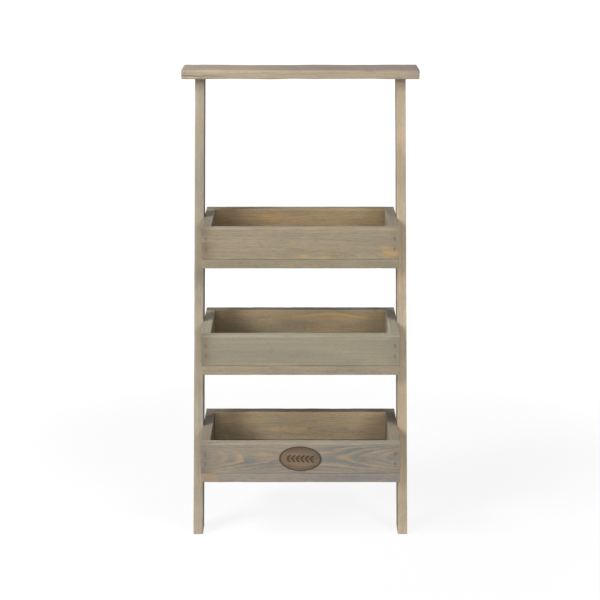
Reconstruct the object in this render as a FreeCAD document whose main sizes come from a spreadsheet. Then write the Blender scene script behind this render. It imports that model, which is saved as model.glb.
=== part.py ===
import FreeCAD, Part
import Sketcher
import os
import re

# A leaning plant stand: two uprights, a top rail and three open trays, nailed and screwed together.
# +Z is up, the front faces -Y, and the origin is on the floor below the middle of the stand.

# Driving dimensions in millimetres, the lean in degrees, counts and shares without a unit
sizes = {
    "lean_angle": 20,
    "upright_width": 22,
    "upright_depth": 45,
    "upright_height": 999,
    "upright_easing": 2,
    "rail_length": 555,
    "rail_depth": 92,
    "rail_thickness": 22,
    "rail_easing": 3,
    "tray_length": 450,
    "tray_reach": 103,
    "lower_rim": 234.5,
    "rim_pitch": 228,
    "wall_height": 72,
    "wall_thickness": 22,
    "wall_easing": 1.5,
    "slat_width": 70,
    "slat_thickness": 22,
    "slat_gap": 1,
    "slat_easing": 1.5,
    "nail_length": 40,
    "nail_radius": 1.1,
    "nail_head_radius": 2.2,
    "nail_head_height": 1,
    "nail_tip": 3,
    "nail_set": 0.4,
    "nail_low_share": 0.36,
    "nail_high_share": 0.7,
    "slat_nail_spacing": 20,
    "screw_length": 36,
    "screw_radius": 2,
    "screw_head_radius": 4,
    "screw_head_height": 2.4,
    "screw_head_rim": 0.4,
    "screw_tip": 6,
    "screw_set": 0.3,
    "screw_low_share": 0.4,
    "screw_high_share": 0.8,
    "screw_slot_length": 4.6,
    "screw_slot_width": 1.1,
    "screw_slot_depth": 1.2,
    "rail_screw_length": 60,
    "bore_clearance": 0.1,
    "cut_overrun": 1,
}

trays = ["lower", "middle", "upper"]
slats = ["front", "middle", "back"]

# Sizes and places that follow from the driving ones
derived = {
    "upright_section": "upright_depth / cos(lean_angle)",
    "upright_rise": "upright_height * tan(lean_angle)",
    "slat_pitch": "slat_width + slat_gap",
    "tray_depth": f"{len(slats)} * slat_pitch - slat_gap",
    "end_panel_length": "tray_depth - 2 * wall_thickness",
    "nail_line": "tray_length / 2 - wall_thickness / 2",
    "upright_middle": "tray_length / 2 + upright_width / 2",
    "upright_outside": "tray_length / 2 + upright_width",
    "rail_middle": "upright_rise + upright_section / 2",
    "stand_front": "lower_rim * tan(lean_angle) - tray_reach",
    "stand_back": "rail_middle + rail_depth / 2",
    "stand_middle": "(stand_front + stand_back) / 2",
}

doc = FreeCAD.newDocument("plant_stand")
sheet = doc.addObject("Spreadsheet::Sheet", "Sizes")
for row, (alias, value) in enumerate(sizes.items(), start=1):
    sheet.set(f"A{row}", alias)
    sheet.set(f"B{row}", str(value))
    sheet.setAlias(f"B{row}", alias)
doc.recompute()

nodes = []


def expression(text):
    # a formula in the sheet's own aliases, with derived sizes written out
    def spell(match):
        word = match.group()
        if word in derived:
            return f"({expression(derived[word])})"
        return f"Sizes.{word}" if word in sizes else word
    return re.sub(r"[a-z_]+", spell, text)


def bind(thing, path, text):
    thing.setExpression(path, expression(text))


def place(thing, x, y, z):
    for axis, text in zip("xyz", (x, y, z)):
        bind(thing, f"Placement.Base.{axis}", text)


def rough_coordinate(text, vertex):
    # any first place on the right side of the axis; the constraints give the true one
    if text == "0":
        return 0
    return -vertex if text.startswith("-") else vertex


def fix_corner(sketch, line, kind, zero_line, text, rough):
    # tie the start of one line to the sketch's origin, a leading minus measuring the other way
    corner = (line, 1)
    origin = (-1, 1)
    if text == "0":
        sketch.addConstraint(Sketcher.Constraint("PointOnObject", *corner, zero_line))
        return
    start, end = (corner, origin) if text.startswith("-") else (origin, corner)
    number = sketch.addConstraint(Sketcher.Constraint(kind, *start, *end, abs(rough)))
    bind(sketch, f"Constraints[{number}]", text.lstrip("-"))


def outline(body, name, role, corners):
    # a closed outline of straight lines on one of the body's own planes
    plane = next(feature for feature in body.Origin.OriginFeatures if feature.Role == role)
    sketch = body.newObject("Sketcher::SketchObject", name)
    sketch.AttachmentSupport = (plane, [""])
    sketch.MapMode = "FlatFace"
    rough = [
        FreeCAD.Vector(rough_coordinate(x, vertex), rough_coordinate(y, vertex), 0)
        for vertex, (x, y) in enumerate(corners, start=1)
    ]
    for start, end in zip(rough, rough[1:] + rough[:1]):
        sketch.addGeometry(Part.LineSegment(start, end), False)
    for line in range(len(corners)):
        following = (line + 1) % len(corners)
        sketch.addConstraint(Sketcher.Constraint("Coincident", line, 2, following, 1))
    for line, (x, y) in enumerate(corners):
        fix_corner(sketch, line, "DistanceX", -2, x, rough[line].x)
        fix_corner(sketch, line, "DistanceY", -1, y, rough[line].y)
    return sketch


def rectangle(length, width):
    return [("0", "0"), (length, "0"), (length, width), ("0", width)]


def board(name, role, corners, thickness, easing):
    # a sawn board with all its edges eased
    body = doc.addObject("PartDesign::Body", f"{name}_blank")
    sawn = body.newObject("PartDesign::Pad", f"{name}_sawn")
    sawn.Profile = outline(body, f"{name}_outline", role, corners)
    bind(sawn, "Length", thickness)
    doc.recompute()
    eased = body.newObject("PartDesign::Fillet", f"{name}_eased")
    eased.Base = (sawn, ["Edge1"])
    eased.UseAllEdges = True
    bind(eased, "Radius", easing)
    return body


def fastener(name, kind, rim, length, room="0", top="0"):
    # a turned fastener, head up at the origin and driven along +Z, or with room round it, its bore
    head = f"{kind}_head_radius + {room}"
    shank = f"{kind}_radius + {room}"
    body = doc.addObject("PartDesign::Body", name)
    turned = body.newObject("PartDesign::Revolution", f"{name}_turned")
    profile = outline(body, f"{name}_profile", "XZ_Plane", [
        ("0", top),
        (head, top),
        (head, f"{rim} + {room}"),
        (shank, f"{kind}_head_height + {room}"),
        (shank, f"{length} - {kind}_tip + {room}"),
        ("0", f"{length} + {room}"),
    ])
    turned.Profile = profile
    turned.ReferenceAxis = (profile, ["V_Axis"])
    return body


def fastener_with_bore(name, kind, rim, length):
    above = f"-({kind}_set + cut_overrun)"
    bore = fastener(f"{name}_bore", kind, rim, length, "bore_clearance", above)
    return fastener(name, kind, rim, length), bore


def cross_slot(body, name):
    # two crossed slots in a screw's head, for the driver
    for direction, (along, across) in enumerate([("length", "width"), ("width", "length")]):
        x = f"screw_slot_{along} / 2"
        y = f"screw_slot_{across} / 2"
        cut = body.newObject("PartDesign::Pocket", f"{name}_slot_{direction}")
        corners = [(f"-{x}", f"-{y}"), (x, f"-{y}"), (x, y), (f"-{x}", y)]
        cut.Profile = outline(body, f"{name}_slot_{direction}_outline", "XY_Plane", corners)
        cut.Reversed = True
        bind(cut, "Length", "screw_slot_depth")
        whole = body.Shape.Volume
        doc.recompute()
        if body.Shape.Volume >= whole:
            raise RuntimeError(f"{cut.Name} cuts nothing")


def copies(name, original, spots):
    # one solid at each spot, turned from +Z to the way that it is driven
    links = []
    for number, (x, y, z, way) in enumerate(spots, start=1):
        link = doc.addObject("App::Link", f"{name}_{number}")
        link.LinkedObject = original
        turn = FreeCAD.Rotation(FreeCAD.Vector(0, 0, 1), FreeCAD.Vector(*way))
        link.Placement = FreeCAD.Placement(FreeCAD.Vector(), turn)
        place(link, x, y, z)
        links.append(link)
    group = doc.addObject("Part::Compound", name)
    group.Links = links
    return group


def drive(name, fastener_and_bore, spots):
    # a group of fasteners, and the bores that the boards get for them
    original, bore = fastener_and_bore
    nodes.append(copies(name, original, spots))
    return copies(f"{name}_bores", bore, spots)


def finish(name, blank, bores):
    # the finished board, with a hole wherever a fastener passes through it
    tools = doc.addObject("Part::Compound", f"{name}_holes")
    tools.Links = bores
    bored = doc.addObject("Part::Cut", name)
    bored.Base = blank
    bored.Tool = tools
    nodes.append(bored)


nail = fastener_with_bore("nail", "nail", "nail_head_height", "nail_length")
tray_screw = fastener_with_bore("tray_screw", "screw", "screw_head_rim", "screw_length")
rail_screw = fastener_with_bore("rail_screw", "screw", "screw_head_rim", "rail_screw_length")
doc.recompute()
for screw, _ in (tray_screw, rail_screw):
    cross_slot(screw, screw.Name)

sides = {"left": -1, "right": 1}


def tray_fasteners(name, rim, front):
    # nails at the four corners and up through the slats, screws from the outside of the uprights
    floor = f"{rim} - wall_height"
    front_spots = []
    back_spots = []
    base_spots = []
    screw_spots = []
    for side in sides.values():
        line = f"{side} * nail_line"
        for share in ("nail_low_share", "nail_high_share"):
            height = f"{floor} + {share} * wall_height"
            front_spots.append((line, f"{front} + nail_set", height, (0, 1, 0)))
            back_spots.append((line, f"{front} + tray_depth - nail_set", height, (0, -1, 0)))
        for slat in range(len(slats)):
            middle = f"{front} + {slat} * slat_pitch + slat_width / 2"
            for step in sides.values():
                depth = f"{middle} + {step} * slat_nail_spacing / 2"
                base_spots.append((line, depth, f"{floor} - slat_thickness + nail_set", (0, 0, 1)))
        for share in ("screw_low_share", "screw_high_share"):
            height = f"{floor} + {share} * wall_height"
            depth = f"({height}) * tan(lean_angle) + upright_section / 2 - stand_middle"
            outside = f"{side} * (upright_outside - screw_set)"
            screw_spots.append((outside, depth, height, (-side, 0, 0)))
    return {
        "front": drive(f"{name}_front_nails", nail, front_spots),
        "back": drive(f"{name}_back_nails", nail, back_spots),
        "base": drive(f"{name}_base_nails", nail, base_spots),
        "uprights": drive(f"{name}_upright_screws", tray_screw, screw_spots),
    }


def tray(name, rim):
    # four walls on a base of slats; gives back the bores that its uprights need
    front = f"{rim} * tan(lean_angle) - tray_reach - stand_middle"
    floor = f"{rim} - wall_height"
    left = "-tray_length / 2"
    bores = tray_fasteners(name, rim, front)
    for end, depth in (("front", front), ("back", f"{front} + tray_depth - wall_thickness")):
        label = f"{name}_{end}_panel"
        corners = rectangle("tray_length", "wall_thickness")
        panel = board(label, "XY_Plane", corners, "wall_height", "wall_easing")
        place(panel, left, depth, floor)
        finish(label, panel, [bores[end]])
    for side, start in (("left", left), ("right", "tray_length / 2 - wall_thickness")):
        label = f"{name}_{side}_end_panel"
        corners = rectangle("wall_thickness", "end_panel_length")
        panel = board(label, "XY_Plane", corners, "wall_height", "wall_easing")
        place(panel, start, f"{front} + wall_thickness", floor)
        finish(label, panel, list(bores.values()))
    for number, slat in enumerate(slats):
        label = f"{name}_{slat}_slat"
        corners = rectangle("tray_length", "slat_width")
        plank = board(label, "XY_Plane", corners, "slat_thickness", "slat_easing")
        place(plank, left, f"{front} + {number} * slat_pitch", f"{floor} - slat_thickness")
        finish(label, plank, [bores["base"]])
    return bores["uprights"]


upright_bores = [
    tray(f"{name}_tray", f"(lower_rim + {level} * rim_pitch)") for level, name in enumerate(trays)
]

rail_top = "upright_height + rail_thickness"
rail_spots = [
    (f"{side} * upright_middle", "rail_middle - stand_middle", f"{rail_top} - screw_set", (0, 0, -1))
    for side in sides.values()
]
rail_bores = drive("rail_screws", rail_screw, rail_spots)

rail = board("top_rail", "XY_Plane", rectangle("rail_length", "rail_depth"), "rail_thickness", "rail_easing")
place(rail, "-rail_length / 2", "rail_middle - rail_depth / 2 - stand_middle", "upright_height")
finish("top_rail", rail, [rail_bores])

# Each upright is cut level at its foot and at its top
upright_outline = [
    ("0", "0"),
    ("upright_section", "0"),
    ("upright_rise + upright_section", "upright_height"),
    ("upright_rise", "upright_height"),
]
for side, start in (("left", "-upright_outside"), ("right", "tray_length / 2")):
    label = f"{side}_upright"
    upright = board(label, "YZ_Plane", upright_outline, "upright_width", "upright_easing")
    place(upright, start, "-stand_middle", "0")
    finish(label, upright, upright_bores + [rail_bores])

doc.recompute()

for thing in doc.Objects:
    if "Invalid" in thing.State or "Error" in thing.State:
        raise RuntimeError(f"{thing.Name} failed: {thing.State}")
for node in nodes:
    if node.Shape.isNull() or not node.Shape.isValid():
        raise RuntimeError(f"{node.Label} has no sound shape")

os.makedirs("parts", exist_ok=True)
for node in nodes:
    node.Shape.exportStep(f"parts/{node.Label}.step")
print(f"{len(nodes)} pieces written")
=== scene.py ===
import math

import bmesh
import bpy
from mathutils import Matrix, Vector, noise


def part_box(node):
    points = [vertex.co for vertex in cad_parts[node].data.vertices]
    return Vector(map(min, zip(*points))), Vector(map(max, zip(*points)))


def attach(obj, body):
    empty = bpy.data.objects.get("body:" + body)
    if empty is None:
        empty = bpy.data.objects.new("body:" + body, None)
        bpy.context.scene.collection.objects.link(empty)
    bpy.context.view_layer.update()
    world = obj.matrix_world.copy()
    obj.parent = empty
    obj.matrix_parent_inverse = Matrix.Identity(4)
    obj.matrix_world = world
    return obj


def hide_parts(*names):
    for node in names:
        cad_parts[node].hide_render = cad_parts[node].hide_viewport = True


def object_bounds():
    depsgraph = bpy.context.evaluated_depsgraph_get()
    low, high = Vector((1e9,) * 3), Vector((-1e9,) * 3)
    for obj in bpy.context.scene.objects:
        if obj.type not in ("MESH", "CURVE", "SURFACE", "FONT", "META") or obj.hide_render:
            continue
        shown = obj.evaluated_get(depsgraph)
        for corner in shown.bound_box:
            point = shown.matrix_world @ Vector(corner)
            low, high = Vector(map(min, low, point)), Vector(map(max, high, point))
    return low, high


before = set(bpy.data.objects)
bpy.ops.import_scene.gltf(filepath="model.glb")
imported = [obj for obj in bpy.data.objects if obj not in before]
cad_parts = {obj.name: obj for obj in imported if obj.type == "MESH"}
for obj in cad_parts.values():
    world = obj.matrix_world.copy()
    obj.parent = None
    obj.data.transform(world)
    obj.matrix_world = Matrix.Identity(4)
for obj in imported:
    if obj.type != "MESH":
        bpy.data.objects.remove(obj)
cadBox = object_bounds()
print("frame loaded with", len(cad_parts), "nodes")

# X runs to the right, Y away from the viewer and Z up
axisX, axisY, axisZ = 0, 1, 2
rightward, leftward, upward = (1.0, 0.0, 0.0), (-1.0, 0.0, 0.0), (0.0, 0.0, 1.0)
white = (1.0, 1.0, 1.0, 1.0)
trays = ["lower", "middle", "upper"]


def tone(red, green, blue):
    # a colour given on a 0 to 255 scale, made linear for the shaders
    def linear(level):
        share = level / 255
        return share / 12.92 if share <= 0.04045 else ((share + 0.055) / 1.055) ** 2.4
    return (linear(red), linear(green), linear(blue), 1.0)


def unit(value):
    return max(0.0, min(1.0, value))


# short hands for shader nodes

def newFinish(name):
    material = bpy.data.materials.new(name)
    material.use_nodes = True
    material.node_tree.nodes.clear()
    return material, material.node_tree


def addNode(tree, kind, inputs=None, **settings):
    node = tree.nodes.new(kind)
    for name, value in settings.items():
        setattr(node, name, value)
    for name, value in (inputs or {}).items():
        if isinstance(value, bpy.types.NodeSocket):
            tree.links.new(value, node.inputs[name])
        else:
            node.inputs[name].default_value = value
    return node


def maths(tree, operation, first, second=0.0):
    return addNode(tree, "ShaderNodeMath", {0: first, 1: second}, operation=operation).outputs[0]


def rise(tree, value, low, high, top=1.0):
    # 0 below low, top above high, eased between
    inputs = {"Value": value, "From Min": low, "From Max": high, "To Min": 0.0, "To Max": top}
    return addNode(tree, "ShaderNodeMapRange", inputs, interpolation_type="SMOOTHSTEP").outputs["Result"]


def mixColour(tree, factor, first, second, blend="MIX"):
    inputs = {0: factor, 6: first, 7: second}
    return addNode(tree, "ShaderNodeMix", inputs, data_type="RGBA", blend_type=blend).outputs[2]


def lengthOf(tree, vector):
    return addNode(tree, "ShaderNodeVectorMath", {0: vector}, operation="LENGTH").outputs["Value"]


def ownValue(tree, name):
    return addNode(tree, "ShaderNodeAttribute", attribute_name=name).outputs["Fac"]


def ownVector(tree, name):
    return addNode(tree, "ShaderNodeAttribute", attribute_name=name).outputs["Vector"]


def ownPoint(tree):
    return addNode(tree, "ShaderNodeTexCoord").outputs["Object"]


def grainNoise(tree, point, turn, form, shift):
    # noise drawn out along the grain
    local = addNode(tree, "ShaderNodeMapping", {
        "Vector": point, "Location": shift, "Rotation": turn, "Scale": form["size"]}, vector_type="TEXTURE")
    inputs = {
        "Vector": local.outputs[0], "Scale": 1.0, "Detail": form["detail"], "Roughness": form["roughness"]}
    return addNode(tree, "ShaderNodeTexNoise", inputs).outputs["Fac"]


# weathered pine under a grey wash: the soft early wood took the wash, the hard late wood shows tan

# one feature's length, width and depth in metres, and how fine the noise goes
pineNoise = {
    "fibre": {"size": (0.030, 0.0008, 0.0008), "detail": 3.0, "roughness": 0.6},
    "streak": {"size": (0.260, 0.0060, 0.0060), "detail": 3.0, "roughness": 0.55},
    "patch": {"size": (0.150, 0.0350, 0.0350), "detail": 2.0, "roughness": 0.5},
    "bloom": {"size": (0.090, 0.0200, 0.0200), "detail": 3.0, "roughness": 0.6},
    "pore": {"size": (0.012, 0.0005, 0.0005), "detail": 1.0, "roughness": 0.5},
    "speck": {"size": (0.009, 0.0016, 0.0016), "detail": 2.0, "roughness": 0.65},
}

seedShift = (0.37, 0.11, 0.23)   # how far the noise moves from one board's seed to the next

# where each change in the finish begins and ends, and how far it goes if that is the same for all boards
pineSteps = {
    "late": (0.35, 0.9),
    "lateEnd": (0.92, 1.0),
    "pale": (0.30, 0.70),
    "line": (0.60, 0.36),
    "darkFibre": (0.52, 0.78),
    "bareFibre": (0.46, 0.26),
    "pore": (0.70, 0.80, 0.30),
    "darkSpeck": (0.50, 0.74),
    "bareSpeck": (0.48, 0.28),
    "veil": (0.72, 0.36),
    "knot": (0.12, 0.62, 0.92),
    "rub": (0.35, 0.65),
    "dirtAndShade": (0.25, 0.6),
    "seam": (0.2, 0.9),
    "crack": (0.05, 0.5, 0.8),
    # where the painted light and shade on one side begins and ends
    "side": (0.25, 1.15),
    "poreDip": (0.66, 0.80, 0.5),
}

pineShares = {
    "yearLeast": 0.15,     # late wood of the weakest year
    "yearSpread": 0.85,
    "bareFibre": 0.7,      # pale fibres beside dark ones
    "knotLeast": 0.45,
    "knotMost": 0.9,
    "knotHeart": 0.55,
    "sawn": 0.5,           # of a sawn end, and the same again where its late wood is
    "sideLightStreak": 0.9,     # how unevenly the painted light and shade on a side spreads
}

pineSurface = {
    "fibre": 0.7,
    "late": 0.5,
    "bump": 0.6,
    "bumpDepth": 0.0004,
    "roughness": 0.70,
    "roughnessSpread": 0.25,
    "gloss": 0.25,
}

# the finish's other tones, as shares of a board's wash in red, green and blue
pineShades = {
    "pale": (1.15, 1.15, 1.16),
    "grey": (0.76, 0.85, 0.99),
    "tan": (1.40, 1.15, 0.88),
    "dark": (0.50, 0.47, 0.45),
    "knot": (1.44, 1.20, 0.88),
    "heart": (1.15, 0.84, 0.56),
    "bare": (1.30, 1.32, 1.35),
    "sawn": (0.66, 0.63, 0.58),
    "seam": (0.34, 0.30, 0.26),
}

# a plain board; each piece below says only what differs
pineLook = {
    "wash": tone(160, 148, 125),
    "tanShare": 0.35,
    "greyShare": 0.45,
    "lineShare": 0.32,
    "fibreShare": 0.30,
    "speckShare": 0.26,
    "seamShare": 0.5,
    "rubShare": 0.45,          # how pale the edges are rubbed
    "sideLightShare": 0.0,          # how strongly one side is given painted light and shade
    "sideLightDrift": 0.0,          # and how much more towards the right
    "sideLightWay": upward,
    "sideLightTone": (0.71, 0.72, 0.83, 1.0),
    "tanBloom": (0.36, 0.64),  # where in the bloom the late wood begins to show tan
    "greyPatch": (0.42, 0.72),
    "shades": {},
}


def paintedSideLight(way, red, green, blue):
    # a look's entries for painted light and shade on one side: a tone of its own multiplied into the faces
    # that look that way
    return {"sideLightShare": 1.0, "sideLightWay": way, "sideLightTone": (red, green, blue, 1.0)}


stainForm = {
    "reach": 0.0034,
    "drop": 0.0030,
    "stretch": 1.7,
    "edge": (1.35, 0.65),
    "streak": 0.7,
    "share": 0.45,
    "topShare": 0.8,
}


def nailStain(tree, point, seat, streak, colour, stainTone):
    # a soft dark stain round a fastener's head, run a little down where the face is upright
    room = Vector((1.0, 1.0, 1.0)) * stainForm["reach"]
    room.z *= stainForm["stretch"]
    level = abs(seat["way"].z) > 0.5
    middle = seat["head"] - Vector((0.0, 0.0, 0.0 if level else stainForm["drop"]))
    local = addNode(tree, "ShaderNodeMapping", {
        "Vector": point, "Location": middle, "Scale": room}, vector_type="TEXTURE").outputs[0]
    reach = maths(tree, "ADD", lengthOf(tree, local), maths(tree, "MULTIPLY", streak, stainForm["streak"]))
    share = stainForm["topShare" if level else "share"]
    return mixColour(tree, rise(tree, reach, *stainForm["edge"], share), colour, stainTone)


def washedPine(name, look, along, seed, stains):
    material, tree = newFinish(name)
    turn = Vector(along).to_track_quat("X", "Z").to_euler("XYZ")
    point = ownPoint(tree)
    ring = ownValue(tree, "ring")
    shade = {key: tuple(share * level for share, level in zip(shares, look["wash"])) + (1.0,)
             for key, shares in {**pineShades, **look["shades"]}.items()}
    shift = tuple(step * seed for step in seedShift)
    fibre, streak, patch, bloom, pore, speck = (
        grainNoise(tree, point, turn, form, shift) for form in pineNoise.values())
    steps, shares = pineSteps, pineShares

    # one year's ring: a slow rise to the late wood and a sharp end, stronger in some years
    phase = maths(tree, "FRACT", ring)
    year = addNode(tree, "ShaderNodeTexWhiteNoise", {"W": maths(tree, "FLOOR", ring)}, noise_dimensions="1D")
    yearShare = maths(tree, "MULTIPLY_ADD", year.outputs["Value"], shares["yearSpread"])
    yearShare.node.inputs[2].default_value = shares["yearLeast"]
    lateEnd = maths(tree, "SUBTRACT", 1.0, rise(tree, phase, *steps["lateEnd"]))
    late = maths(tree, "MULTIPLY", rise(tree, phase, *steps["late"]), lateEnd)
    late = maths(tree, "MULTIPLY", late, yearShare)

    colour = mixColour(tree, rise(tree, streak, *steps["pale"]), look["wash"], shade["pale"])
    colour = mixColour(tree, rise(tree, patch, *look["greyPatch"], look["greyShare"]), colour, shade["grey"])
    warmth = rise(tree, bloom, *look["tanBloom"], look["tanShare"])
    colour = mixColour(tree, maths(tree, "MULTIPLY", late, warmth), colour, shade["tan"])
    line = maths(tree, "MULTIPLY", late, rise(tree, bloom, *steps["line"], look["lineShare"]))
    colour = mixColour(tree, line, colour, shade["dark"])
    darkFibre = rise(tree, fibre, *steps["darkFibre"], look["fibreShare"])
    colour = mixColour(tree, darkFibre, colour, shade["dark"])
    bareFibre = rise(tree, fibre, *steps["bareFibre"], shares["bareFibre"] * look["fibreShare"])
    colour = mixColour(tree, bareFibre, colour, shade["bare"])
    colour = mixColour(tree, rise(tree, pore, *steps["pore"]), colour, shade["dark"])
    darkSpeck = rise(tree, speck, *steps["darkSpeck"], look["speckShare"])
    colour = mixColour(tree, darkSpeck, colour, shade["dark"])
    bareSpeck = rise(tree, speck, *steps["bareSpeck"], look["speckShare"])
    colour = mixColour(tree, bareSpeck, colour, shade["bare"])

    # a knot is tan and ringed, with a darker heart; the wash still veils it in streaks
    veil = maths(tree, "ADD", shares["knotLeast"], rise(tree, streak, *steps["veil"]))
    knotShare = maths(tree, "MULTIPLY", rise(tree, ownValue(tree, "knot"), *steps["knot"]), veil)
    heart = maths(tree, "MULTIPLY", late, shares["knotHeart"])
    knotColour = mixColour(tree, heart, shade["knot"], shade["heart"])
    colour = mixColour(tree, maths(tree, "MINIMUM", knotShare, shares["knotMost"]), colour, knotColour)

    # sawn ends drink more of the wash and show the rings; edges are rubbed
    ends = maths(tree, "ADD", shares["sawn"], maths(tree, "MULTIPLY", late, shares["sawn"]))
    colour = mixColour(tree, maths(tree, "MULTIPLY", ownValue(tree, "sawn"), ends), colour, shade["sawn"])
    rubbed = maths(
        tree, "MULTIPLY", ownValue(tree, "wear"), rise(tree, bloom, *steps["rub"], look["rubShare"]))
    colour = mixColour(tree, rubbed, colour, shade["bare"])

    # dirt at the ends and painted shade in the darkened places, dark joints and cracks
    dirtAndShade = maths(tree, "MULTIPLY", ownValue(tree, "dirtAndShade"), rise(tree, bloom, *steps["dirtAndShade"]))
    colour = mixColour(tree, dirtAndShade, colour, shade["dark"])
    seam = rise(tree, ownValue(tree, "seam"), *steps["seam"], look["seamShare"])
    colour = mixColour(tree, seam, colour, shade["seam"])
    colour = mixColour(tree, rise(tree, ownValue(tree, "crack"), *steps["crack"]), colour, shade["seam"])
    # painted light and shade: faces that look one way are multiplied by a tone of their own, lighter where
    # light is painted, darker where shade is
    if look["sideLightShare"]:
        toSide = addNode(tree, "ShaderNodeVectorMath", {
            0: ownVector(tree, "facing"), 1: look["sideLightWay"]}, operation="DOT_PRODUCT").outputs["Value"]
        uneven = maths(tree, "MULTIPLY", maths(tree, "SUBTRACT", streak, 0.5), shares["sideLightStreak"])
        x = addNode(tree, "ShaderNodeSeparateXYZ", {0: point}).outputs["X"]
        drift = maths(tree, "MULTIPLY", x, look["sideLightDrift"])
        spread = maths(tree, "ADD", maths(tree, "ADD", toSide, uneven), drift)
        sideLit = rise(tree, spread, *steps["side"], look["sideLightShare"])
        colour = mixColour(tree, sideLit, colour, look["sideLightTone"], "MULTIPLY")
    for seat in stains:
        colour = nailStain(tree, point, seat, streak, colour, shade["seam"])
    if "stamp" in look:
        colour = scorched(tree, point, look["stamp"], fibre, bloom, colour)

    surface = pineSurface
    raised = maths(tree, "MULTIPLY", fibre, surface["fibre"])
    height = maths(tree, "ADD", raised, maths(tree, "MULTIPLY", late, surface["late"]))
    height = maths(tree, "SUBTRACT", height, rise(tree, pore, *steps["poreDip"]))
    bump = addNode(tree, "ShaderNodeBump", {
        "Strength": surface["bump"], "Distance": surface["bumpDepth"], "Height": height})
    roughness = maths(
        tree, "ADD", surface["roughness"], maths(tree, "MULTIPLY", fibre, surface["roughnessSpread"]))
    shader = addNode(tree, "ShaderNodeBsdfPrincipled", {
        "Base Color": colour, "Roughness": roughness, "Normal": bump.outputs[0],
        "Specular IOR Level": surface["gloss"]})
    addNode(tree, "ShaderNodeOutputMaterial", {"Surface": shader.outputs[0]})
    return material


# the plain mark burnt into one panel: an oval line round a sprig of leaves

stampForm = {
    "halfWidth": 0.046,
    "halfHeight": 0.029,
    "line": 0.045,               # half the oval line's width, as a share of the oval
    "lineEdge": (1.5, 0.6),      # soft edges, as shares of the line and the stem
    "lineShare": 0.85,
    "ovalEdge": (1.02, 0.98),
    "stem": 0.0011,
    "stemEdge": (1.4, 0.6),
    "stemReach": 0.0312,
    "stemTip": 0.001,
    "leafStep": 0.0104,
    "leafGap": 0.001,
    "leafHalfLength": 0.0063,
    "leafHalfWidth": 0.0026,
    "leafTurn": math.radians(38),
    "leafEdge": (1.1, 0.8),
    "leafRagged": 3.0,
    "sprigShare": 0.85,
    "ragged": 0.10,
    "face": (0.004, 0.002),      # how deep behind the stamped face the mark ends
    "rimHeat": (0.45, 0.95, 0.45),
    "bloomHeat": (0.42, 0.62, 0.55),
    "toastShare": 0.8,
    "burn": tone(62, 47, 36),
    "toast": tone(122, 102, 77),
    "char": tone(84, 68, 54),
}


def scorched(tree, point, stamp, fibre, bloom, colour):
    form = stampForm
    local = addNode(tree, "ShaderNodeMapping", {
        "Vector": point, "Location": stamp["middle"],
        "Rotation": (0.0, stamp["turn"], 0.0)}, vector_type="TEXTURE")
    place = addNode(tree, "ShaderNodeSeparateXYZ", {0: local.outputs[0]}).outputs
    x, z = place["X"], place["Z"]
    ragged = maths(tree, "MULTIPLY", maths(tree, "SUBTRACT", fibre, 0.5), form["ragged"])
    oval = addNode(tree, "ShaderNodeCombineXYZ", {
        0: maths(tree, "DIVIDE", x, form["halfWidth"]), 1: maths(tree, "DIVIDE", z, form["halfHeight"])})
    reach = maths(tree, "ADD", lengthOf(tree, oval.outputs[0]), ragged)
    offLine = maths(tree, "ABSOLUTE", maths(tree, "SUBTRACT", reach, 1.0))
    outer, inner = (share * form["line"] for share in form["lineEdge"])
    outline = rise(tree, offLine, outer, inner, form["lineShare"])
    inside = rise(tree, reach, *form["ovalEdge"])

    # leaves in pairs along a stem, each a small ellipse that leans forward
    height = maths(tree, "ABSOLUTE", z)
    cell = maths(tree, "SUBTRACT", maths(tree, "FRACT", maths(tree, "DIVIDE", x, form["leafStep"])), 0.5)
    alongStem = maths(tree, "MULTIPLY", cell, form["leafStep"])
    cosine, sine = math.cos(form["leafTurn"]), math.sin(form["leafTurn"])
    base = maths(tree, "SUBTRACT", height, form["leafHalfLength"] * sine + form["leafGap"])
    lengthways = maths(
        tree, "ADD", maths(tree, "MULTIPLY", alongStem, cosine), maths(tree, "MULTIPLY", base, sine))
    sideways = maths(
        tree, "SUBTRACT", maths(tree, "MULTIPLY", base, cosine), maths(tree, "MULTIPLY", alongStem, sine))
    leaf = addNode(tree, "ShaderNodeCombineXYZ", {
        0: maths(tree, "DIVIDE", lengthways, form["leafHalfLength"]),
        1: maths(tree, "DIVIDE", sideways, form["leafHalfWidth"])})
    leafReach = maths(
        tree, "ADD", lengthOf(tree, leaf.outputs[0]), maths(tree, "MULTIPLY", ragged, form["leafRagged"]))
    leaves = rise(tree, leafReach, *form["leafEdge"])
    stem = rise(tree, height, *(share * form["stem"] for share in form["stemEdge"]))
    tip, reachOfStem = form["stemTip"], form["stemReach"]
    within = rise(tree, maths(tree, "ABSOLUTE", x), reachOfStem + tip, reachOfStem - tip)
    sprig = maths(tree, "MULTIPLY", maths(tree, "MAXIMUM", leaves, stem), within)

    # only on the face that was stamped
    facing = rise(tree, place["Y"], *form["face"])
    burnt = maths(tree, "MAXIMUM", outline, maths(tree, "MULTIPLY", sprig, form["sprigShare"]))
    heat = maths(tree, "ADD", rise(tree, reach, *form["rimHeat"]), rise(tree, bloom, *form["bloomHeat"]))
    toasted = mixColour(tree, heat, form["toast"], form["char"])
    toastShare = maths(tree, "MULTIPLY", inside, maths(tree, "MULTIPLY", facing, form["toastShare"]))
    colour = mixColour(tree, toastShare, colour, toasted)
    return mixColour(tree, maths(tree, "MULTIPLY", burnt, facing), colour, form["burn"])


# boards: a sawn blank is eased, gridded, worn, then drilled for its fasteners

boardGrid = {
    "alongStep": 0.006,
    "acrossStep": 0.0012,
    "easingSegments": 3,
    "roundedSegments": 6,
    "sharpAngle": math.radians(38),
    "straight": 0.999,     # how nearly an edge has to run along an axis
}

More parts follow.
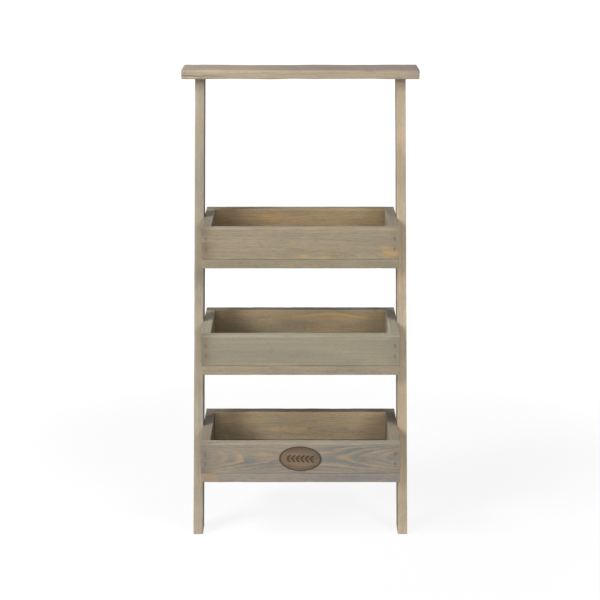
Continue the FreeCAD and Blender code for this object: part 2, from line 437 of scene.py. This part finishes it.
# scales give features per metre along the board and then across it
boardRelief = {
    "grain": 0.00020,      # how far the late wood stands above the early wood
    "grainLevel": 0.3,     # the share of that by which the early wood lies below the sawn face
    "ripple": 0.00012,     # slow unevenness of the sawn face, to either side
    "rippleScale": (6, 25),
    "swayScale": (14, 9),
    "swaySeed": 1.7,
    "swayFade": 0.05,
    "arris": 0.0008,       # most that wear takes off an edge
    "arrisReach": 0.0035,
    "chipScale": (28, 40),
    "fineChip": 0.5,
    "fineChipScale": (90, 60),
    "chipPower": 1.5,
    "seamReach": 0.0011,   # how far dirt reaches from a joint with the next board
    "tipReach": 0.024,     # how far dirt reaches from a board's end
    "split": 0.0012,
    "splitHalfWidth": 0.0008,
    "splitDrift": 0.0015,
    "splitScale": (60, 90),
    "sawnFrom": 0.6,       # how far a face has to look along the grain to be an end
    "sawnSpan": 0.25,
}

pineFigure = {
    "pith": (0.010, 0.045),   # where the log's middle passes, across and through from the board's middle
    "slope": (0.010, 0.030),  # how that line drifts per metre of length
    "bow": 0.0,               # and how it bends through the board
    "arch": None,             # a place where the rings swell across the board
    "tips": (0.12, 0.12),     # how dirty the low and the high end are
    "darkenedPlaces": [],            # other darkened places, mostly painted shade in corners and beside other parts: middle along the board, reach and share
    "spacing": 0.0042,        # one year's growth
    "wander": 0.005,
    "waver": 0.35,
    "seed": 1,
    "knots": [],
    "splits": [],             # which end, place across the board, length
    "cracks": [],             # which end, place through the board, length
}

# for wander: scale along the board, step from seed to seed, and a level of its own
ringNoise = {
    "across": (3.1, 7.7, 0.5),
    "through": (3.7, 5.3, 9.5),
    "waverScale": (9.0, 70.0),
    "waverSeed": 3.9,
    "knotPush": 0.35,
    "knotFade": 0.7,
}

lateWood = {"start": 0.35, "length": 0.55, "end": 0.08}


def lateProfile(phase):
    # how far into the late wood a place is, from 0 to 1, over one year's ring
    return unit((phase - lateWood["start"]) / lateWood["length"]) * unit((1.0 - phase) / lateWood["end"])


def knotAt(along, across, length, width, rings, core):
    # rings is how many years it pushes aside, core how much of its own colour shows
    return {"along": along, "across": across, "length": length, "width": width, "rings": rings, "core": core}


def boardNoise(scale, u, v, w, shiftAcross=0.0, shiftThrough=0.0):
    return noise.noise((scale[0] * u, scale[1] * v + shiftAcross, scale[1] * w + shiftThrough))


def growth(figure, u, v, w):
    # years from the pith at a place along, across and through the board; knots push the rings aside
    def wander(form):
        return figure["wander"] * noise.noise((form[0] * u, form[1] * figure["seed"], form[2]))
    if figure["arch"]:
        arch = figure["arch"]
        v -= arch["rise"] * math.exp(-((u - arch["along"]) / arch["reach"]) ** 2)
    across = v - figure["pith"][0] - figure["slope"][0] * u
    through = w - figure["pith"][1] - figure["slope"][1] * u - figure["bow"] * u * u
    across += wander(ringNoise["across"])
    through += wander(ringNoise["through"])
    years = math.hypot(across, through) / figure["spacing"]
    shift = ringNoise["waverSeed"] * figure["seed"]
    years += figure["waver"] * boardNoise(ringNoise["waverScale"], u, v, w, 0.0, shift)
    core = 0.0
    for knot in figure["knots"]:
        reach = ((u - knot["along"]) / knot["length"]) ** 2 + ((v - knot["across"]) / knot["width"]) ** 2
        years += knot["rings"] * math.exp(-reach * ringNoise["knotPush"])
        core = max(core, knot["core"] * math.exp(-reach * ringNoise["knotFade"]))
    return years, core


def easedBlank(size, easing, roundedFront):
    # a box of that size with eased edges; the upper front edge may be rounded further
    bm = bmesh.new()
    bmesh.ops.create_cube(bm, size=1.0)
    bmesh.ops.scale(bm, vec=size, verts=bm.verts)
    if roundedFront:
        upperFront = [edge for edge in bm.edges if all(
            vert.co[axisY] < 0 and vert.co[axisZ] > 0 for vert in edge.verts)]
        bmesh.ops.bevel(
            bm, geom=upperFront, offset=roundedFront, affect="EDGES",
            segments=boardGrid["roundedSegments"], profile=0.5, material=-1)
    sharp = [edge for edge in bm.edges if edge.calc_face_angle() > boardGrid["sharpAngle"]]
    bmesh.ops.bevel(
        bm, geom=sharp, offset=easing, affect="EDGES",
        segments=boardGrid["easingSegments"], profile=0.5, material=-1)
    return bm


def gridCuts(bm, axis, step):
    # cut all the edges that run along one axis into equal steps
    def runs(edge):
        way = edge.verts[1].co - edge.verts[0].co
        return abs(way[axis]) > boardGrid["straight"] * way.length and way.length > 2 * step
    edges = [edge for edge in bm.edges if runs(edge)]
    cuts = round(edges[0].calc_length() / step) - 1
    bmesh.ops.subdivide_edges(bm, edges=edges, cuts=cuts, use_grid_fill=True)


def byArris(local, half):
    # 1 on the nearest edge of the board, fading to 0 away from it
    depths = sorted(max(0.0, half[axis] - abs(local[axis])) for axis in range(3))
    return math.exp(-(depths[1] / boardRelief["arrisReach"]) ** 2)


def splitting(figure, halfLength, u, v, w):
    # how far open the wood is: end splits follow a line across the board, cracks one through it
    scale = boardRelief["splitScale"]
    opening = 0.0
    for name, level in (("splits", v), ("cracks", w)):
        for end, place, length in figure[name]:
            run = (halfLength - end * u) / length
            drift = place + boardRelief["splitDrift"] * noise.noise((scale[0] * u, place * scale[1], 1.0))
            if run < 1.0:
                off = (level - drift) / boardRelief["splitHalfWidth"]
                opening = max(opening, (1.0 - run) * math.exp(-off ** 2))
    return opening


def wearBlank(bm, board):
    # raise the grain about the sawn face, wear the edges and open the end splits
    figure = board["figure"]
    seed = figure["seed"]
    half = board["size"] / 2
    along, across, through = board["axes"]
    relief = boardRelief
    bm.normal_update()
    moves = []
    for vert in bm.verts:
        local = vert.co
        u, v, w = local[along], local[across], local[through]
        years = growth(figure, u, v, w)[0]
        depth = relief["grain"] * (relief["grainLevel"] - lateProfile(years % 1.0))
        depth += relief["ripple"] * boardNoise(relief["rippleScale"], u, v, w, 0.0, seed)
        swaying = unit((board["swayReach"] - abs(u)) / relief["swayFade"])
        sway = 0.5 + boardNoise(relief["swayScale"], u, v, w, 0.0, relief["swaySeed"] * seed)
        depth += board["sway"] * swaying * sway
        chip = boardNoise(relief["chipScale"], u, v, w, seed)
        chip += relief["fineChip"] * boardNoise(relief["fineChipScale"], u, v, w)
        worn = max(0.0, chip) ** relief["chipPower"]
        depth += relief["arris"] * board["rough"] * byArris(local, half) * worn
        depth += relief["split"] * splitting(figure, half[along], u, v, w)
        moves.append(vert.normal * depth)
    for vert, move in zip(bm.verts, moves):
        vert.co -= move


def keepInside(bm):
    # raised grain never passes the outermost faces of the whole stand
    for vert in bm.verts:
        vert.co = Vector(min(max(vert.co[axis], cadBox[0][axis]), cadBox[1][axis]) for axis in range(3))


def paintBoard(mesh, board):
    # keep what the finish follows on the mesh: rings, knots, rubbed edges, sawn ends, joints, dirt and
    # painted shade, cracks
    figure = board["figure"]
    half = board["size"] / 2
    along, across, through = board["axes"]
    back = board["placement"].inverted()
    relief = boardRelief
    values = {"ring": [], "knot": [], "wear": [], "sawn": [], "seam": [], "dirtAndShade": [], "crack": []}
    for vert in mesh.vertices:
        local = back @ vert.co
        u, v, w = local[along], local[across], local[through]
        years, core = growth(figure, u, v, w)
        values["ring"].append(years)
        values["knot"].append(core)
        values["wear"].append(byArris(local, half))
        toEnd = abs(vert.normal.dot(board["grainWay"]))
        values["sawn"].append(unit((toEnd - relief["sawnFrom"]) / relief["sawnSpan"]))
        dirtAndShade = [figure["tips"][u > 0] * math.exp(-((half[along] - abs(u)) / relief["tipReach"]) ** 2)]
        # painted shade at the darkened places
        dirtAndShade += [share * math.exp(-((u - middle) / reach) ** 2) for middle, reach, share in figure["darkenedPlaces"]]
        values["dirtAndShade"].append(max(dirtAndShade))
        values["crack"].append(splitting(figure, half[along], u, v, w))
        axis, side = board["seam"]
        values["seam"].append(math.exp(-((half[axis] - side * local[axis]) / relief["seamReach"]) ** 2))
    for name, numbers in values.items():
        mesh.attributes.new(name, "FLOAT", "POINT").data.foreach_set("value", numbers)
    facing = mesh.attributes.new("facing", "FLOAT_VECTOR", "POINT")
    facing.data.foreach_set("vector", [number for vert in mesh.vertices for number in vert.normal])


headSeat = {
    "room": 0.0002,
    "depth": 0.0006,
    "above": 0.004,
    "sides": 28,
    "weld": 1e-5,
    "wide": 0.9,       # what counts as the head, as a share of its radius
    "margin": 0.001,   # how far outside a board's box a head still belongs to it
}


def headPlaces(node):
    # for each fastener of a node: the middle of its head, the way it faces and the head's radius
    bm = bmesh.new()
    bm.from_mesh(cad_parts[node].data)
    bmesh.ops.remove_doubles(bm, verts=bm.verts, dist=headSeat["weld"])
    bm.verts.index_update()
    seen = set()
    heads = []
    for first in bm.verts:
        if first.index in seen:
            continue
        seen.add(first.index)
        island = [first]
        for vert in island:
            for edge in vert.link_edges:
                other = edge.other_vert(vert)
                if other.index not in seen:
                    seen.add(other.index)
                    island.append(other)
        low = Vector(min(vert.co[axis] for vert in island) for axis in range(3))
        high = Vector(max(vert.co[axis] for vert in island) for axis in range(3))
        middle = (low + high) / 2
        axis = max(range(3), key=lambda number: high[number] - low[number])
        radius = min(high[number] - low[number] for number in range(3)) / 2
        wide = [vert.co[axis] for vert in island if (vert.co - middle).length_squared
                - (vert.co[axis] - middle[axis]) ** 2 > (headSeat["wide"] * radius) ** 2]
        way = Vector((0, 0, 0))
        way[axis] = math.copysign(1.0, sum(wide) / len(wide) - middle[axis])
        head = middle.copy()
        head[axis] = high[axis] if way[axis] > 0 else low[axis]
        heads.append({"head": head, "way": way, "radius": radius})
    bm.free()
    return heads


def linked(name, mesh):
    piece = bpy.data.objects.new(name, mesh)
    bpy.context.scene.collection.objects.link(piece)
    return piece


def seatCutter(heads):
    # round recesses that leave each head showing a little below the face
    bm = bmesh.new()
    length = headSeat["depth"] + headSeat["above"]
    for seat in heads:
        middle = seat["head"] + seat["way"] * (length / 2 - headSeat["depth"])
        turn = seat["way"].to_track_quat("Z", "Y").to_matrix().to_4x4()
        radius = seat["radius"] + headSeat["room"]
        bmesh.ops.create_cone(
            bm, cap_ends=True, segments=headSeat["sides"], radius1=radius, radius2=radius,
            depth=length, matrix=Matrix.Translation(middle) @ turn)
    mesh = bpy.data.meshes.new("seatCutter")
    bm.to_mesh(mesh)
    bm.free()
    return linked("seatCutter", mesh)


def drill(piece, heads):
    # sink the seats into the board and keep the cut mesh
    cutter = seatCutter(heads)
    cut = piece.modifiers.new("seats", "BOOLEAN")
    cut.object = cutter
    cut.operation = "DIFFERENCE"
    cut.solver = "EXACT"
    evaluated = piece.evaluated_get(bpy.context.evaluated_depsgraph_get())
    drilled = bpy.data.meshes.new_from_object(evaluated)
    piece.modifiers.clear()
    blank = piece.data
    piece.data = drilled
    bpy.data.meshes.remove(blank)
    cutterMesh = cutter.data
    bpy.data.objects.remove(cutter)
    bpy.data.meshes.remove(cutterMesh)


def makeBoard(node, shape, figure, look, fasteners):
    low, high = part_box(node)
    lean = math.tan(shape["lean"])
    size = high - low
    size.y -= lean * size.z
    middle = (low + high) / 2
    shear = Matrix.Identity(4)
    shear[1][2] = lean
    along = shape["axes"][0]
    grainWay = Vector((0, 0, 0))
    grainWay[along] = 1.0
    grainWay.y += lean
    grainWay.normalize()
    board = {
        "size": size,
        "grainWay": grainWay,
        "axes": shape["axes"],
        "rough": shape["rough"],
        "sway": shape.get("sway", 0.0),
        "swayReach": shape.get("swayReach", 0.0),
        "seam": shape["seam"],
        "figure": {**pineFigure, **figure},
        "placement": Matrix.Translation(middle) @ shear,
    }
    bm = easedBlank(size, shape["easing"], shape.get("roundedFront", 0.0))
    for axis in range(3):
        gridCuts(bm, axis, boardGrid["alongStep" if axis == along else "acrossStep"])
    wearBlank(bm, board)
    bmesh.ops.transform(bm, matrix=board["placement"], verts=bm.verts)
    keepInside(bm)
    name = node + "_board"
    mesh = bpy.data.meshes.new(name)
    bm.to_mesh(mesh)
    bm.free()
    piece = linked(name, mesh)
    heads = [seat for fastener in fasteners for seat in headPlaces(fastener)]
    margin = headSeat["margin"]
    inside = [seat for seat in heads if all(
        low[axis] - margin < seat["head"][axis] < high[axis] + margin for axis in range(3))]
    if inside:
        drill(piece, inside)
    piece.data.shade_smooth()
    piece.data.set_sharp_from_angle(angle=boardGrid["sharpAngle"])
    paintBoard(piece.data, board)
    stains = inside if shape["stained"] else []
    piece.data.materials.append(washedPine(
        name + "_pine", {**pineLook, **look}, grainWay, board["figure"]["seed"], stains))
    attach(piece, "root")
    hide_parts(node)


# the two leaning uprights

uprights = {
    "axes": (axisZ, axisY, axisX),
    "lean": math.radians(20),
    "easing": 0.0013,
    "rough": 0.8,
    "slot": "upright_pine",
    "seam": (axisZ, 1),
    "stained": True,
    # the uprights' darkened places are painted shade
    "left": {"pith": (0.004, 0.06), "slope": (0.004, 0.01), "seed": 2, "spacing": 0.0030,
             "darkenedPlaces": [(0.075, 0.035, 0.55), (0.29, 0.13, 0.34), (0.01, 0.03, 0.3), (-0.2, 0.03, 0.12),
                         (-0.46, 0.06, 0.2)]},
    # each upright's inner side face is darkened: painted shade
    "leftLook": {"wash": tone(161, 150, 131), "tanShare": 0.4, "greyShare": 0.5,
                 **paintedSideLight(rightward, 0.60, 0.60, 0.62)},
    "right": {"pith": (-0.006, -0.05), "slope": (0.006, 0.012), "seed": 3, "spacing": 0.0031,
              "darkenedPlaces": [(0.33, 0.045, 0.6), (0.30, 0.09, 0.5), (0.46, 0.16, 0.36), (-0.29, 0.07, 0.34),
                          (-0.47, 0.06, 0.42)]},
    "rightLook": {"wash": tone(183, 166, 141), "tanShare": 0.5, "greyShare": 0.4, "speckShare": 0.38,
                  **paintedSideLight(leftward, 0.55, 0.55, 0.56)},
}

for side in ("left", "right"):
    screws = [tray + "_tray_upright_screws" for tray in trays]
    makeBoard(side + "_upright", uprights, uprights[side], uprights[side + "Look"], screws)
print("uprights made")

# the flat rail on top of them

rail = {
    "axes": (axisX, axisY, axisZ),
    "lean": 0.0,
    "easing": 0.0022,
    "rough": 1.4,
    "slot": "rail_pine",
    "seam": (axisZ, -1),
    "stained": True,
    "roundedFront": 0.006,
    "sway": 0.0011,            # slow unevenness of the faces between the uprights
    "swayReach": 0.215,
    "figure": {"pith": (0.02, -0.05), "slope": (0.01, 0.04), "seed": 4, "tips": (0.12, 0.2),
               "darkenedPlaces": [(0.03, 0.12, 0.16), (0.2, 0.1, 0.12)],
               "splits": [(-1, 0.012, 0.04), (1, -0.020, 0.025)], "cracks": [(-1, -0.0035, 0.15)]},
    # its top face is darker and greyer, more so towards the right: painted shade, and the rail's own grey
    # weathering
    "look": {"wash": tone(169, 155, 133), "sideLightShare": 1.0, "sideLightDrift": 2.0,
             "tanShare": 0.7, "greyShare": 0.6},
}

makeBoard("top_rail", rail, rail["figure"], rail["look"], ["rail_screws"])
print("rail made")

# the three trays

trayBoard = {"lean": 0.0, "easing": 0.0011, "rough": 0.7}
trayWall = {**trayBoard, "slot": "panel_pine", "seam": (axisZ, -1), "stained": True}
longWall = {**trayWall, "axes": (axisX, axisZ, axisY)}
shortWall = {**trayWall, "axes": (axisY, axisZ, axisX)}
slat = {**trayBoard, "axes": (axisX, axisY, axisZ), "slot": "slat_pine", "seam": (axisZ, 1), "stained": False}

endSeed, slatSeed = 30, 51   # the first end panel's and the first slat's seed, counted on from there

# the back panels' darkened places are painted shade in the trays' inner corners, and the lower end panels'
# are painted shade on their back ends
trayFigures = {
    "upper": {
        "front": {
            "pith": (-0.040, 0.040), "slope": (0.0, 0.05), "seed": 11, "waver": 0.5, "tips": (0.7, 0.3),
            "knots": [
                knotAt(0.206, -0.023, 0.016, 0.0070, 1.3, 1.0),
                knotAt(0.196, -0.009, 0.026, 0.0036, 0.6, 0.42),
                knotAt(0.006, -0.031, 0.022, 0.0070, 1.5, 0.55),
                knotAt(-0.064, -0.0345, 0.014, 0.0034, 0.6, 0.6),
                knotAt(0.057, -0.033, 0.020, 0.0060, 1.0, 0.48)]},
        "back": {
            "pith": (0.0, -0.030), "slope": (0.02, 0.05), "seed": 12,
            "darkenedPlaces": [(-0.21, 0.04, 0.5), (0.21, 0.02, 0.5)],
            "knots": [knotAt(-0.075, 0.014, 0.026, 0.006, 1.2, 0.6)]},
    },
    "middle": {
        "front": {
            "pith": (0.090, 0.030), "slope": (0.06, 0.02), "seed": 13, "spacing": 0.0034,
            "tips": (0.65, 0.3)},
        "back": {
            "pith": (-0.056, -0.034), "slope": (0.0, 0.0), "seed": 14, "spacing": 0.0044,
            "wander": 0.003, "waver": 0.4,
            "darkenedPlaces": [(-0.215, 0.025, 1.0), (-0.19, 0.05, 0.4)],
            "arch": {"along": 0.068, "reach": 0.105, "rise": 0.019},
            "knots": [
                knotAt(0.070, 0.0065, 0.100, 0.0026, 0.2, 0.7),
                knotAt(0.075, -0.005, 0.060, 0.0022, 0.2, 0.5)]},
    },
    "lower": {
        "front": {
            "pith": (0.004, 0.030), "slope": (0.0, 0.01), "bow": -0.42, "seed": 15, "spacing": 0.0048,
            "wander": 0.003, "waver": 0.55, "tips": (0.65, 0.3),
            "knots": [knotAt(0.096, 0.004, 0.017, 0.006, 0.5, 0.55)]},
        "back": {
            "pith": (-0.009, -0.0240), "slope": (0.0, 0.075), "seed": 16, "spacing": 0.0047,
            "wander": 0.001, "waver": 0.2, "darkenedPlaces": [(-0.21, 0.02, 0.6)],
            "knots": [
                knotAt(-0.062, -0.009, 0.014, 0.005, 0.6, 0.8),
                knotAt(0.002, -0.009, 0.014, 0.005, 0.6, 0.6)]},
        "ends": {"darkenedPlaces": [(0.065, 0.034, 0.8)]},
        "frontSlat": {"seed": 50, "knots": [knotAt(-0.205, -0.035, 0.026, 0.030, 1.5, 0.55)]},
    },
}

litRim = {"rubShare": 0.95, **paintedSideLight(upward, 1.11, 1.15, 1.20)}   # painted light on the upper faces; the edges rubbed paler are real wear and a painted highlight
livelyBack = {"lineShare": 0.5, "fibreShare": 0.42, "speckShare": 0.36}
livelySlat = {"fibreShare": 0.42, "speckShare": 0.40, "greyShare": 0.6, "tanShare": 0.5}

# the back panels' washes are lighter than the fronts': partly their warmer tone, and partly painted light on
# the trays' shaded insides
trayLooks = {
    "upper": {
        "front": {"wash": tone(148, 136, 114), "speckShare": 0.36, "fibreShare": 0.36, **litRim},
        "back": {
            "wash": tone(170, 148, 114), "tanShare": 0.7, **livelyBack,
            # painted shade on the top rim
            **paintedSideLight(upward, 0.54, 0.63, 0.82)},
        "ends": {"wash": tone(134, 125, 108)},
        # painted shade on the inner face
        "leftEnd": paintedSideLight(rightward, 0.78, 0.76, 0.74),
        "slats": {"wash": tone(144, 134, 112), **livelySlat}},
    "middle": {
        "front": {"wash": tone(145, 137, 117), "tanShare": 0.2, **litRim},
        "back": {
            "wash": tone(181, 162, 130), "tanShare": 0.9, "tanBloom": (0.25, 0.55), "greyShare": 1.0,
            "greyPatch": (0.36, 0.62), **livelyBack, "lineShare": 0.8,
            # painted shade on the top rim
            **paintedSideLight(upward, 0.65, 0.76, 0.97)},
        "ends": {"wash": tone(150, 142, 124)},
        # painted shade on the inner face
        "leftEnd": paintedSideLight(rightward, 0.58, 0.56, 0.53),
        # painted light on the inner face
        "rightEnd": paintedSideLight(leftward, 1.22, 1.24, 1.26),
        "slats": {"wash": tone(151, 139, 118), **livelySlat}},
    "lower": {
        "front": {
            "wash": tone(136, 128, 115), "tanShare": 1.0, "tanBloom": (0.2, 0.5), "greyShare": 1.0,
            "greyPatch": (0.40, 0.64), "shades": {"tan": (1.62, 1.32, 1.02)},
            "seamShare": 0.2, "rubShare": 0.8, "speckShare": 0.38, "fibreShare": 0.40,
            # painted light on the upper face
            **paintedSideLight(upward, 1.36, 1.38, 1.30),
            "stamp": {"middle": (0.0, -0.2256, 0.1985), "turn": math.radians(2)}},
        "back": {
            "wash": tone(183, 166, 137), "tanShare": 1.0, "tanBloom": (0.2, 0.5), "greyShare": 0.8,
            # painted shade on the top rim
            **livelyBack, **paintedSideLight(upward, 0.40, 0.45, 0.53)},
        "ends": {"wash": tone(136, 126, 110)},
        # painted shade on the inner face
        "leftEnd": paintedSideLight(rightward, 0.58, 0.56, 0.53),
        "slats": {"wash": tone(137, 129, 119), "seamShare": 0.2, **livelySlat}},
}

for number, tray in enumerate(trays):
    prefix = tray + "_tray_"
    figures, looks = trayFigures[tray], trayLooks[tray]
    for end in ("front", "back"):
        makeBoard(prefix + end + "_panel", longWall, figures[end], looks[end], [prefix + end + "_nails"])
    for place, end in enumerate(("left", "right")):
        figure = {"seed": endSeed + 2 * number + place, **figures.get("ends", {})}
        look = {**looks["ends"], **looks.get(end + "End", {})}
        makeBoard(prefix + end + "_end_panel", shortWall, figure, look, [])
    for place, end in enumerate(("front", "middle", "back")):
        figure = figures.get(end + "Slat", {"seed": slatSeed + 3 * number + place})
        makeBoard(prefix + end + "_slat", slat, figure, looks["slats"], [prefix + "base_nails"])
    print(tray, "tray made")

# dulled steel of the nails and screws

steelForm = {
    "bloom": {"Scale": 900.0, "Detail": 4.0},
    "grit": {"Scale": 4200.0, "Detail": 2.0},
    "dull": (0.35, 0.65),
    "rust": (0.55, 0.75, 0.8),
    "bump": 0.4,
    "bumpDepth": 0.0001,
    "metal": 0.7,
    "roughness": 0.35,
    "roughnessSpread": 0.4,
}


def dulledSteel(name, bright, dull, rust):
    form = steelForm
    material, tree = newFinish(name)
    point = ownPoint(tree)
    bloom = addNode(tree, "ShaderNodeTexNoise", {"Vector": point, **form["bloom"]}).outputs["Fac"]
    grit = addNode(tree, "ShaderNodeTexNoise", {"Vector": point, **form["grit"]}).outputs["Fac"]
    colour = mixColour(tree, rise(tree, bloom, *form["dull"]), bright, dull)
    colour = mixColour(tree, rise(tree, bloom, *form["rust"]), colour, rust)
    bump = addNode(tree, "ShaderNodeBump", {
        "Strength": form["bump"], "Distance": form["bumpDepth"], "Height": grit})
    uneven = maths(tree, "MULTIPLY", bloom, form["roughnessSpread"])
    shader = addNode(tree, "ShaderNodeBsdfPrincipled", {
        "Base Color": colour, "Metallic": form["metal"], "Normal": bump.outputs[0],
        "Roughness": maths(tree, "ADD", form["roughness"], uneven)})
    addNode(tree, "ShaderNodeOutputMaterial", {"Surface": shader.outputs[0]})
    return material


steels = {
    "nails": dulledSteel("nailSteel", tone(136, 125, 108), tone(104, 94, 80), tone(100, 76, 56)),
    "screws": dulledSteel("screwSteel", tone(118, 108, 94), tone(84, 75, 63), tone(80, 60, 44)),
}
for node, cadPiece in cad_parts.items():
    kind = node.rsplit("_", 1)[-1]
    if kind in steels:
        cadPiece.data.materials.clear()
        cadPiece.data.materials.append(steels[kind])
print("fasteners finished")

# a pale floor that fades to white, four soft lamps from the front, one behind and a weak sky

studio = {
    "floorSize": 60.0,
    "floorCells": 8,
    "floorTone": (0.80, 0.80, 0.79, 1.0),
    "shadeTone": (0.12, 0.12, 0.12, 1.0),   # how much of the light on the floor the viewer is shown
    "fadeStart": 0.6,
    "fadeEnd": 1.6,
    "liftNear": 0.88,
    "sky": 0.06,
}


def seenByViewer(tree):
    # 1 for what the viewer sees, directly or in a gloss, and 0 for what only lights
    path = addNode(tree, "ShaderNodeLightPath").outputs
    seen = maths(tree, "MAXIMUM", path["Is Camera Ray"], path["Is Glossy Ray"])
    return maths(tree, "MAXIMUM", seen, path["Is Transmission Ray"])


def paleFloor():
    cells = studio["floorCells"]
    bm = bmesh.new()
    bmesh.ops.create_grid(bm, x_segments=cells, y_segments=cells, size=studio["floorSize"] / 2)
    mesh = bpy.data.meshes.new("floor")
    bm.to_mesh(mesh)
    bm.free()
    floor = linked("floor", mesh)
    material, tree = newFinish("paleFloor")
    away = lengthOf(tree, ownPoint(tree))
    fade = rise(tree, away, studio["fadeStart"], studio["fadeEnd"], 1.0 - studio["liftNear"])
    lift = maths(tree, "ADD", studio["liftNear"], fade)
    seen = seenByViewer(tree)
    glow = addNode(tree, "ShaderNodeEmission", {
        "Color": white, "Strength": maths(tree, "MULTIPLY", lift, seen)})
    colour = mixColour(tree, seen, studio["floorTone"], studio["shadeTone"])
    matt = addNode(tree, "ShaderNodeBsdfDiffuse", {"Color": colour})
    both = addNode(tree, "ShaderNodeAddShader", {0: matt.outputs[0], 1: glow.outputs[0]})

    # open from below, so that the underside can be looked at
    below = addNode(tree, "ShaderNodeNewGeometry").outputs["Backfacing"]
    clear = addNode(tree, "ShaderNodeBsdfTransparent").outputs[0]
    surface = addNode(tree, "ShaderNodeMixShader", {0: below, 1: both.outputs[0], 2: clear}).outputs[0]
    addNode(tree, "ShaderNodeOutputMaterial", {"Surface": surface})
    floor.data.materials.append(material)


def evenSky():
    world = bpy.data.worlds.new("studioSky")
    bpy.context.scene.world = world
    world.use_nodes = True
    tree = world.node_tree
    tree.nodes.clear()
    shown = maths(tree, "MULTIPLY", seenByViewer(tree), 1.0 - studio["sky"])
    strength = maths(tree, "ADD", studio["sky"], shown)
    sky = addNode(tree, "ShaderNodeBackground", {"Color": white, "Strength": strength})
    addNode(tree, "ShaderNodeOutputWorld", {"Surface": sky.outputs[0]})


lampForm = {"aim": (0.0, 0.0, 0.5), "size": 3.8}

lamps = {
    "keyLamp": {"place": (-8.62, -2.30, 8.54), "power": 930.0},
    "leftLamp": {"place": (-8.40, -7.04, 5.38), "power": 596.0},
    "rightLamp": {"place": (6.84, -5.74, 8.54), "power": 490.0},
    "backLamp": {"place": (-2.10, 11.70, 1.05), "power": 400.0},
    "frontLamp": {"place": (2.06, -11.70, 2.17), "power": 270.0},
}


def softLamp(name, lamp):
    data = bpy.data.lights.new(name, "AREA")
    data.shape = "DISK"
    data.size = lampForm["size"]
    data.energy = lamp["power"]
    piece = linked(name, data)
    piece.location = lamp["place"]
    way = Vector(lampForm["aim"]) - Vector(lamp["place"])
    piece.rotation_euler = way.to_track_quat("-Z", "Y").to_euler()


paleFloor()
evenSky()
for name, lamp in lamps.items():
    softLamp(name, lamp)
print("studio lit")

# the viewer stands in front, above the middle, looking down

viewpoint = {
    "place": (-0.0008, -3.00795, 1.4548),
    "pitch": math.radians(72.43),
    "lens": 80.74,
    "sensor": 36.0,
}

cameraData = bpy.data.cameras.new("viewpoint")
cameraData.lens = viewpoint["lens"]
cameraData.sensor_width = viewpoint["sensor"]
camera = linked("viewpoint", cameraData)
camera.location = viewpoint["place"]
camera.rotation_euler = (viewpoint["pitch"], 0.0, 0.0)
bpy.context.scene.camera = camera
bpy.context.scene.view_settings.view_transform = "Standard"
